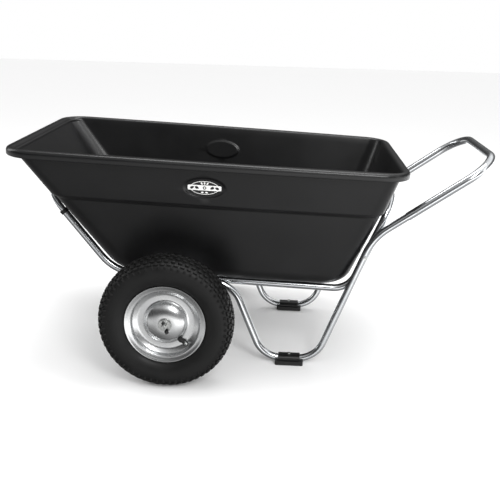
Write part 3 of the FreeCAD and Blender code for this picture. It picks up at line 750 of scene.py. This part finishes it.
# ---------------------------------------------------------------- badges
@dataclass
class Badge:
    """Printed oval plate with a banner across it, seated in the recess of one side. Sizes in mm."""

    tub: Tub
    side: Side
    oval: tuple[float, float] = (43.0, 22.0)
    banner: tuple[float, float] = (50.0, 9.5)
    plate: float = 2.0
    ink: float = 0.12
    line: float = 1.5

    def ellipse(self, half_x: float, half_y: float, count: int = 96) -> Line:
        """Points round an oval."""
        turns = [2 * math.pi * i / count for i in range(count)]
        return [(half_x * math.cos(t), half_y * math.sin(t)) for t in turns]

    def strip(self, half_x: float, half_y: float, power: float = 9.0, count: int = 96) -> Line:
        """Draw a strip with soft corners.

        Args:
            half_x: half its length.
            half_y: half its height.
            power: how square its corners are.
            count: points round it.

        Returns:
            The outline.
        """
        points = []
        for i in range(count):
            c, s = math.cos(2 * math.pi * i / count), math.sin(2 * math.pi * i / count)
            reach = (abs(c) ** power + abs(s) ** power) ** (-1 / power)
            points.append((half_x * c * reach, half_y * s * reach))
        return points

    def leaf(self, x: float, y: float, length: float, width: float, turn: float) -> Line:
        """Draw a pointed leaf.

        Args:
            x: its middle's place along the plate.
            y: its middle's place up the plate.
            length: from tip to tip.
            width: at its middle.
            turn: degrees from level.

        Returns:
            The outline.
        """
        count = 24
        c, s = math.cos(math.radians(turn)), math.sin(math.radians(turn))
        points = []
        for i in range(count):
            t = 2 * math.pi * i / count
            a = length / 2 * math.cos(t)
            b = width / 2 * math.sin(t) * (1 - 0.25 * math.cos(t)) * abs(math.sin(t)) ** 0.4
            points.append((x + a * c - b * s, y + a * s + b * c))
        return points

    def slab(self, outline: Line, low: float, high: float,
             edge: float = 0.0) -> bpy.types.Object:
        """Flat plate with a slightly broken top edge.

        Args:
            outline: points round the plate.
            low: underside.
            high: top.
            edge: width of the broken edge.

        Returns:
            The plate, in place on the tub.
        """
        place = self.tub.badge_seat(self.side)
        count = len(outline)
        x = sum(p[0] for p in outline) / count
        y = sum(p[1] for p in outline) / count
        inner = [(p[0] - math.copysign(edge, p[0] - x), p[1] - math.copysign(edge, p[1] - y))
                 for p in outline]
        rows = [[Vector((x, y, low))] * count, [Vector((*p, low)) for p in outline],
                [Vector((*p, high - edge)) for p in outline]]
        rows += [[Vector((*p, high)) for p in inner]] if edge else []
        rows += [[Vector((x, y, high))] * count]
        return skin("plate", [[place @ v for v in row] for row in rows], 30.0)

    def band(self, outer: Line, inner: Line, low: float, high: float) -> bpy.types.Object:
        """Make a flat printed line between two outlines.

        Args:
            outer: outer outline.
            inner: inner outline, with as many points.
            low: underside.
            high: top.

        Returns:
            The line, in place on the tub.
        """
        place = self.tub.badge_seat(self.side)
        rows = [[place @ Vector((*p, z)) for p in line]
                for line, z in ((outer, low), (outer, high), (inner, high), (inner, low),
                                (outer, low))]
        return skin("line", rows, 30.0)

    def build(self, finishes: Finishes) -> None:
        """Make the black plate and its white print.

        Args:
            finishes: the finishes, each built once.
        """
        top, ink = self.plate, self.ink
        a, b = self.oval
        p, q = self.banner
        word = self.side.word
        black = [self.slab(self.ellipse(a, b), 0.0, top, 0.3),
                 self.slab(self.strip(p, q), 0.0, top + 0.05, 0.2)]
        black += [self.slab(self.leaf(x, 0.0, 13.0, 8.0, turn), top, top + 3 * ink)
                  for x, turn in ((-36, 25), (-22, -25), (22, 205), (36, 155))]
        black += [self.slab(self.ellipse(5.2, 5.2, 36), top, top + 3 * ink)]
        ring_a, ring_b = a - 1.2, b - 1.2
        white = [self.band(self.ellipse(ring_a, ring_b),
                           self.ellipse(ring_a - self.line, ring_b - self.line),
                           top - 0.4, top + ink),
                 self.slab(self.strip(p - 1.4, q - 1.4), top, top + 2 * ink),
                 self.slab(self.ellipse(2.4, 2.4, 24), top, top + 4 * ink)]
        white += [self.slab(self.leaf(x, y, 9.0, 4.6, turn), top - 0.4, top + ink)
                  for x, y, turn in ((0, 14.6, 90), (-8.5, 13.6, 125), (8.5, 13.6, 55),
                                     (-6, -14.4, 12), (6, -14.4, 168))]
        plate = joined(f"badge_plate_{word}", black)
        finished(plate, "tub", finishes.get(BADGE_BLACK), [f"badge_{word}"])
        printed = joined(f"badge_print_{word}", white)
        finished(printed, "tub", finishes.get(BADGE_WHITE))


# ---------------------------------------------------------------- wheels
@dataclass
class Wheel:
    """One pneumatic wheel. Sizes in mm."""

    side: Side
    tyre_r: float = 200.0
    tread: float = 5.0
    pitches: int = 60
    flange_r: float = 118.0
    half_rim: float = 38.0
    bead_r: float = 101.0
    disc_out: float = 12.0
    disc_r: float = 85.0
    dome_r: float = 63.0
    hub_r: float = 20.3
    sheet: float = 2.0
    valve_turn: float = 51.0
    crown_half: float = 46.0      # half the tread's width
    crown_drop: float = 14.5      # how much lower the tread's edge is than its middle
    crown_power: float = 2.6
    crown_ease: float = 0.3       # kept back from the CAD tyre's radius

    def __post_init__(self) -> None:
        """Find the wheel's middle from the frame."""
        low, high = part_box(f"tyre_{self.side.word}")
        self.centre = (Vector(low) + Vector(high)) / 2
        self.out = Vector((0, self.side.value, 0))

    def crown(self, across: float) -> float:
        """Radius of the tread's top at a distance from the wheel's middle plane."""
        share = min(1.0, abs(across) / self.crown_half)
        return self.tyre_r - self.crown_ease - self.crown_drop * share ** self.crown_power

    def carcass_profile(self) -> Line:
        """Closed profile of the tyre without its tread blocks.

        Returns:
            (across, radius) pairs in mm.
        """
        top = [(across, self.crown(across) - self.tread) for across in range(0, 43, 3)]
        flank = [(46.5, 180.0), (49.2, 173.0), (51.2, 165.0), (51.9, 156.0), (51.4, 147.0),
                 (49.6, 139.0), (47.6, 134.5), (46.6, 132.6), (46.0, 131.4), (44.0, 128.0),
                 (41.5, 124.6), (38.9, 122.4), (36.3, 120.6), (34.6, 118.6), (32.4, 113.0),
                 (31.0, 108.0), (30.8, 103.6)]
        inside = [(20.0, 103.6), (20.0, 107.5), (28.0, 118.0), (43.0, 150.0), (38.0, 175.0),
                  (20.0, 187.0), (0.0, 188.8)]
        half = top + rounded(flank, 2.0, 3) + inside
        other = [(-a, r) for a, r in half[1:-1][::-1]]
        return half + other

    def block(self, across: float, size: tuple[float, float, float],
              lean: float) -> bpy.types.Object:
        """One tread block on the crown at the top of the wheel, drawn about the wheel's middle.

        Args:
            across: its distance from the middle plane.
            size: along the tread, across it, and deep.
            lean: degrees that its top leans with the crown.

        Returns:
            A bevelled block.
        """
        deselect()
        bpy.ops.mesh.primitive_cube_add(size=MM)
        block = bpy.context.active_object
        block.data.transform(Matrix.Diagonal((*size, 1.0)))
        make_active(block)
        bpy.ops.object.mode_set(mode="EDIT")
        bpy.ops.mesh.select_all(action="SELECT")
        bpy.ops.mesh.bevel(offset=1.1 * MM, segments=2, affect="EDGES")
        bpy.ops.object.mode_set(mode="OBJECT")
        bpy.ops.object.shade_smooth_by_angle(angle=math.radians(50))
        drop = self.crown(across) - size[2] / 2
        place = Matrix.Translation(Vector((0, across, drop)) * MM) @ Matrix.Rotation(
            math.radians(-lean), 4, "X")
        block.data.transform(place)
        return block

    def tread_blocks(self) -> bpy.types.Object:
        """Make the tread: knobs on the crown, lugs and short ribs on the shoulders.

        Returns:
            One mesh with every block, in the wheel's place.
        """
        pitch = 2 * math.pi / self.pitches
        rows = [(9.5, (12.5, 13.0, 7.0), 3.0, 0.0), (26.5, (12.0, 13.0, 7.5), 13.0, 0.5),
                (39.5, (12.5, 8.5, 8.5), 30.0, 0.0)]
        groups = []
        for across, size, lean, phase in rows:
            for sign in (1, -1):
                block = self.block(across * sign, size, lean * sign)
                shift = phase + (0.25 if sign > 0 else -0.25)
                places = [Matrix.Rotation(pitch * (i + shift), 4, "Y")
                          for i in range(self.pitches)]
                groups.append(copied(block, places, "tread_row"))
        for sign in (1, -1):
            rib = self.block(46.4 * sign, (6.5, 5.0, 19.0), 16.0 * sign)
            rib.data.transform(Matrix.Translation(Vector((0, 0.6 * sign, -3.0)) * MM))
            places = [Matrix.Rotation(pitch * (i + 0.25 * sign + 0.5), 4, "Y")
                      for i in range(self.pitches)]
            groups.append(copied(rib, places, "tread_row"))
        whole = joined("tread", groups)
        whole.data.transform(Matrix.Translation(self.centre))
        return whole

    def build_tyre(self, finishes: Finishes) -> bpy.types.Object:
        """Make the tyre with its tread.

        Args:
            finishes: the finishes, each built once.

        Returns:
            The tyre.
        """
        carcass = turned("carcass", self.carcass_profile(), self.centre, self.out,
                         180, True, 45.0)
        tyre = joined(f"tyre_and_tread_{self.side.word}", [carcass, self.tread_blocks()])
        return finished(tyre, f"wheel_{self.side.word}", finishes.get(TYRE_RUBBER),
                        [f"tyre_{self.side.word}"])

    def dome(self, start: float, end: float, rise: float) -> Line:
        """Points of the disc's dome from its flat to the hub.

        Args:
            start: where the dome starts along the axle.
            end: the hub's radius.
            rise: how far it rises, less than nought inwards.

        Returns:
            (along, radius) pairs in mm.
        """
        steps = 22
        turns = [math.radians(90 * i / steps) for i in range(steps + 1)]
        return [(start + rise * math.sin(t), end + (self.dome_r - end) * math.cos(t))
                for t in turns]

    def valve_spot(self, turn: float, radius: float, lift: float) -> Vector:
        """Find a point in the wheel's dish.

        Args:
            turn: degrees below the level through the axle.
            radius: mm from the axle.
            lift: mm above the disc.

        Returns:
            The point in metres.
        """
        angle = math.radians(turn)
        radial = Vector((math.cos(angle), 0, -math.sin(angle)))
        return self.centre + (radial * radius + self.out * (self.disc_out + lift)) * MM

    def build_valve(self, finishes: Finishes) -> None:
        """Make the rubber stem and the bright cap, leaning out from the dome's foot.

        Args:
            finishes: the finishes, each built once.
        """
        root = self.valve_spot(self.valve_turn + 1.0, 70.0, 5.0)
        way = (self.valve_spot(self.valve_turn - 5.0, 88.0, 14.0) - root).normalized()
        stem = [(-7.5, 0.0), (-7.5, 5.0), (-4.0, 5.3), (-1.5, 5.3), (-0.5, 6.6), (2.0, 6.6),
                (3.4, 5.4), (6.0, 4.7), (14.5, 4.0), (15.4, 3.4), (15.6, 0.0)]
        cap = [(15.8, 0.0), (15.8, 3.6), (16.4, 4.1), (22.4, 4.1), (23.6, 3.6),
               (24.4, 2.4), (24.7, 0.0)]
        word = self.side.word
        rubber = turned(f"valve_rubber_{word}", stem, root, way, 36, False, 35.0)
        finished(rubber, f"wheel_{word}", finishes.get(FOOT_RUBBER),
                 [f"valve_stem_{word}"])
        bright = turned(f"valve_metal_cap_{word}", cap, root, way, 36, False, 35.0)
        finished(bright, f"wheel_{word}", finishes.get(ZINC_PLATE),
                 [f"valve_cap_{word}"])

    def build_rim(self, finishes: Finishes) -> None:
        """Make the outer and the inner pressing.

        Args:
            finishes: the finishes, each built once.
        """
        flange = [(self.half_rim, self.flange_r), (self.half_rim - 0.6, self.flange_r - 3),
                  (self.half_rim - 4, self.flange_r - 10), (self.half_rim - 5, self.bead_r),
                  (self.disc_out + 8, self.bead_r - 2), (self.disc_out, self.disc_r)]
        dome = self.dome(self.disc_out, self.hub_r, self.half_rim - self.disc_out)
        line = rounded(flange + [(self.disc_out, self.dome_r + 4)] + dome[1:4], 4.0, 5) + dome[4:]
        outer = turned(f"rim_outer_pressing_{self.side.word}", thick(line, self.sheet),
                       self.centre, self.out, 160, True, 35.0)
        finished(outer, f"wheel_{self.side.word}", finishes.get(SILVER_LACQUER),
                 [f"rim_outer_{self.side.word}"])
        back = self.disc_out - 2 * self.sheet - 0.2
        flange = [(-self.half_rim, self.flange_r), (4 - self.half_rim, self.flange_r - 10),
                  (5 - self.half_rim, self.bead_r), (-self.disc_out - 8, self.bead_r - 2),
                  (-self.disc_out + 4, self.disc_r + 3), (back, self.disc_r + 1),
                  (back, self.dome_r + 4)]
        dome = self.dome(back, self.hub_r, -(self.half_rim - self.sheet) - back)
        line = rounded(flange + dome[1:4], 4.0, 5) + dome[4:]
        inner = turned(f"rim_inner_pressing_{self.side.word}", thick(line[::-1], self.sheet),
                       self.centre, self.out, 160, True, 35.0)
        finished(inner, f"wheel_{self.side.word}", finishes.get(SILVER_LACQUER),
                 [f"rim_inner_{self.side.word}"])


# ---------------------------------------------------------------- stage
@dataclass(frozen=True)
class Lamp:
    """A soft rectangular light: its place and size in metres and its power in watts."""

    name: str
    place: tuple[float, float, float]
    size: tuple[float, float]
    watts: float


LAMPS = (Lamp("key", (1.1, -2.8, 2.4), (1.0, 1.4), 45.0),
         Lamp("top", (0.1, 0.2, 3.0), (2.6, 0.9), 45.0),
         Lamp("rim", (-2.8, 0.6, 1.6), (0.5, 1.8), 15.0),
         Lamp("end", (3.0, -1.2, 1.3), (0.6, 1.6), 6.0))


@dataclass(frozen=True)
class Studio:
    """Pale floor, soft lights and the camera."""

    azimuth: float = 2.245
    elevation: float = 18.0
    roll: float = 1.531
    distance: float = 2.5525
    aim: tuple[float, float, float] = (-0.0138, 0.0, 0.2974)
    lens: float = 54.41
    white: float = 1.0
    lit: tuple[float, float, float] = (0.0, 0.0, 0.35)    # point that the lamps face
    floor_size: float = 24.0
    room: tuple[tuple[float, float], ...] = (
        (0.17, 0.2), (0.27, 0.4), (0.33, 0.9), (0.4, 0.9), (0.46, 0.15), (0.52, 0.04),
        (0.7, 0.07), (0.8, 0.5))    # brightness of the room by height, nought straight down

    def camera(self) -> None:
        """Place the camera."""
        a, e = math.radians(self.azimuth), math.radians(self.elevation)
        back = Vector((math.sin(a) * math.cos(e), -math.cos(a) * math.cos(e), math.sin(e)))
        data = bpy.data.cameras.new("camera")
        data.lens = self.lens
        data.sensor_width = 36.0
        camera = bpy.data.objects.new("camera", data)
        bpy.context.collection.objects.link(camera)
        camera.rotation_mode = "QUATERNION"
        camera.location = Vector(self.aim) + back * self.distance
        roll = Quaternion((0, 0, 1), math.radians(self.roll))
        camera.rotation_quaternion = (-back).to_track_quat("-Z", "Y") @ roll
        bpy.context.scene.camera = camera

    def light(self, lamp: Lamp) -> None:
        """Add one lamp, facing the cart.

        Args:
            lamp: its name, place, size and power.
        """
        data = bpy.data.lights.new(lamp.name, "AREA")
        data.shape = "RECTANGLE"
        data.size, data.size_y = lamp.size
        data.energy = lamp.watts
        piece = bpy.data.objects.new(lamp.name, data)
        bpy.context.collection.objects.link(piece)
        place = Vector(lamp.place)
        piece.location = place
        piece.rotation_mode = "QUATERNION"
        piece.rotation_quaternion = (Vector(self.lit) - place).to_track_quat("-Z", "Y")

    def sky(self) -> None:
        """White light all round, with a darker room that only shows in what shines."""
        world = bpy.data.worlds.new("studio")
        bpy.context.scene.world = world
        world.use_nodes = True
        tree = world.node_tree
        tree.nodes.clear()
        place = add_node(tree, "ShaderNodeTexCoord")
        split = add_node(tree, "ShaderNodeSeparateXYZ", {}, {"Vector": place.outputs["Generated"]})
        up = add_node(tree, "ShaderNodeMapRange", {"From Min": -1.0, "From Max": 1.0},
                      {"Value": split.outputs["Z"]})
        height = add_node(tree, "ShaderNodeValToRGB", {}, {"Fac": up.outputs["Result"]})
        ramp = height.color_ramp
        ramp.elements[0].position, ramp.elements[1].position = 0.0, 1.0
        for share, value in self.room:
            stop = ramp.elements.new(share)
            stop.color = (value, value, value, 1.0)
        ramp.elements[0].color = (0.12, 0.12, 0.12, 1.0)
        ramp.elements[-1].color = (0.34, 0.34, 0.345, 1.0)
        along = add_node(tree, "ShaderNodeMapRange",
                         {"From Min": -0.35, "From Max": 0.4, "To Min": 0.9, "To Max": 2.6,
                          "interpolation_type": "SMOOTHSTEP"},
                         {"Value": split.outputs["X"]})
        room = add_node(tree, "ShaderNodeBackground", {},
                        {"Color": height.outputs["Color"], "Strength": along.outputs["Result"]})
        white = add_node(tree, "ShaderNodeBackground", {"Strength": self.white})
        white.inputs["Color"].default_value = linear("ffffff")
        ray = add_node(tree, "ShaderNodeLightPath")
        both = add_node(tree, "ShaderNodeMixShader", {},
                        {0: ray.outputs["Is Glossy Ray"], 1: white.outputs["Background"],
                         2: room.outputs["Background"]})
        add_node(tree, "ShaderNodeOutputWorld", {}, {"Surface": both.outputs["Shader"]})

    def build(self) -> None:
        """Make the floor, the sky light, the lamps and the camera."""
        deselect()
        bpy.ops.mesh.primitive_plane_add(size=self.floor_size)
        floor = bpy.context.active_object
        floor.name = "floor"
        paper = bpy.data.materials.new("white_paper")
        paper.use_nodes = True
        shader = paper.node_tree.nodes["Principled BSDF"]
        shader.inputs["Base Color"].default_value = linear("fafafa")
        shader.inputs["Roughness"].default_value = 0.9
        dress(floor, paper)
        floor.visible_glossy = False
        self.sky()
        for lamp in LAMPS:
            self.light(lamp)
        bpy.context.scene.view_settings.view_transform = "Standard"
        self.camera()


# ---------------------------------------------------------------- the frame's own nodes
@dataclass(frozen=True)
class CarriedOver:
    """CAD nodes whose shape is right: each gets its finish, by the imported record's slots."""

    record: dict

    def dress_all(self, finishes: Finishes, nodes: dict[str, bpy.types.Object]) -> None:
        """Give each node the finish of its material slot.

        Args:
            finishes: the finishes, each built once.
            nodes: the frame's nodes by name.
        """
        finish_of = {
            "tub_plastic": POLYETHYLENE, "badge_face": BADGE_BLACK,
            "frame_aluminium": DRAWN_ALUMINIUM,
            "black_plastic": BLACK_NYLON, "foot_rubber": FOOT_RUBBER, "zinc_steel": ZINC_PLATE,
            "rim_steel": SILVER_LACQUER, "tyre_rubber": TYRE_RUBBER, "tube_rubber": FOOT_RUBBER,
            "cap_metal": ZINC_PLATE,
        }
        slots = {entry["node"]: entry["material_slot"] for entry in self.record["subparts"]}
        for name, node in nodes.items():
            dress(node, finishes.get(finish_of[slots[name]]))


def main() -> None:
    """Build the cart's looks round the frame."""
    logging.basicConfig(level=logging.INFO, format="%(message)s")
    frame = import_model()
    finishes = Finishes()
    axes = Axes.read()
    Studio().build()
    CarriedOver(frame["record"]).dress_all(finishes, frame["nodes"])
    tub = Tub(axes)
    tub.build(finishes)
    for side in Side:
        Badge(tub, side).build(finishes)
        wheel = Wheel(side)
        wheel.build_tyre(finishes)
        wheel.build_rim(finishes)
        wheel.build_valve(finishes)


if __name__ == "__main__":
    main()
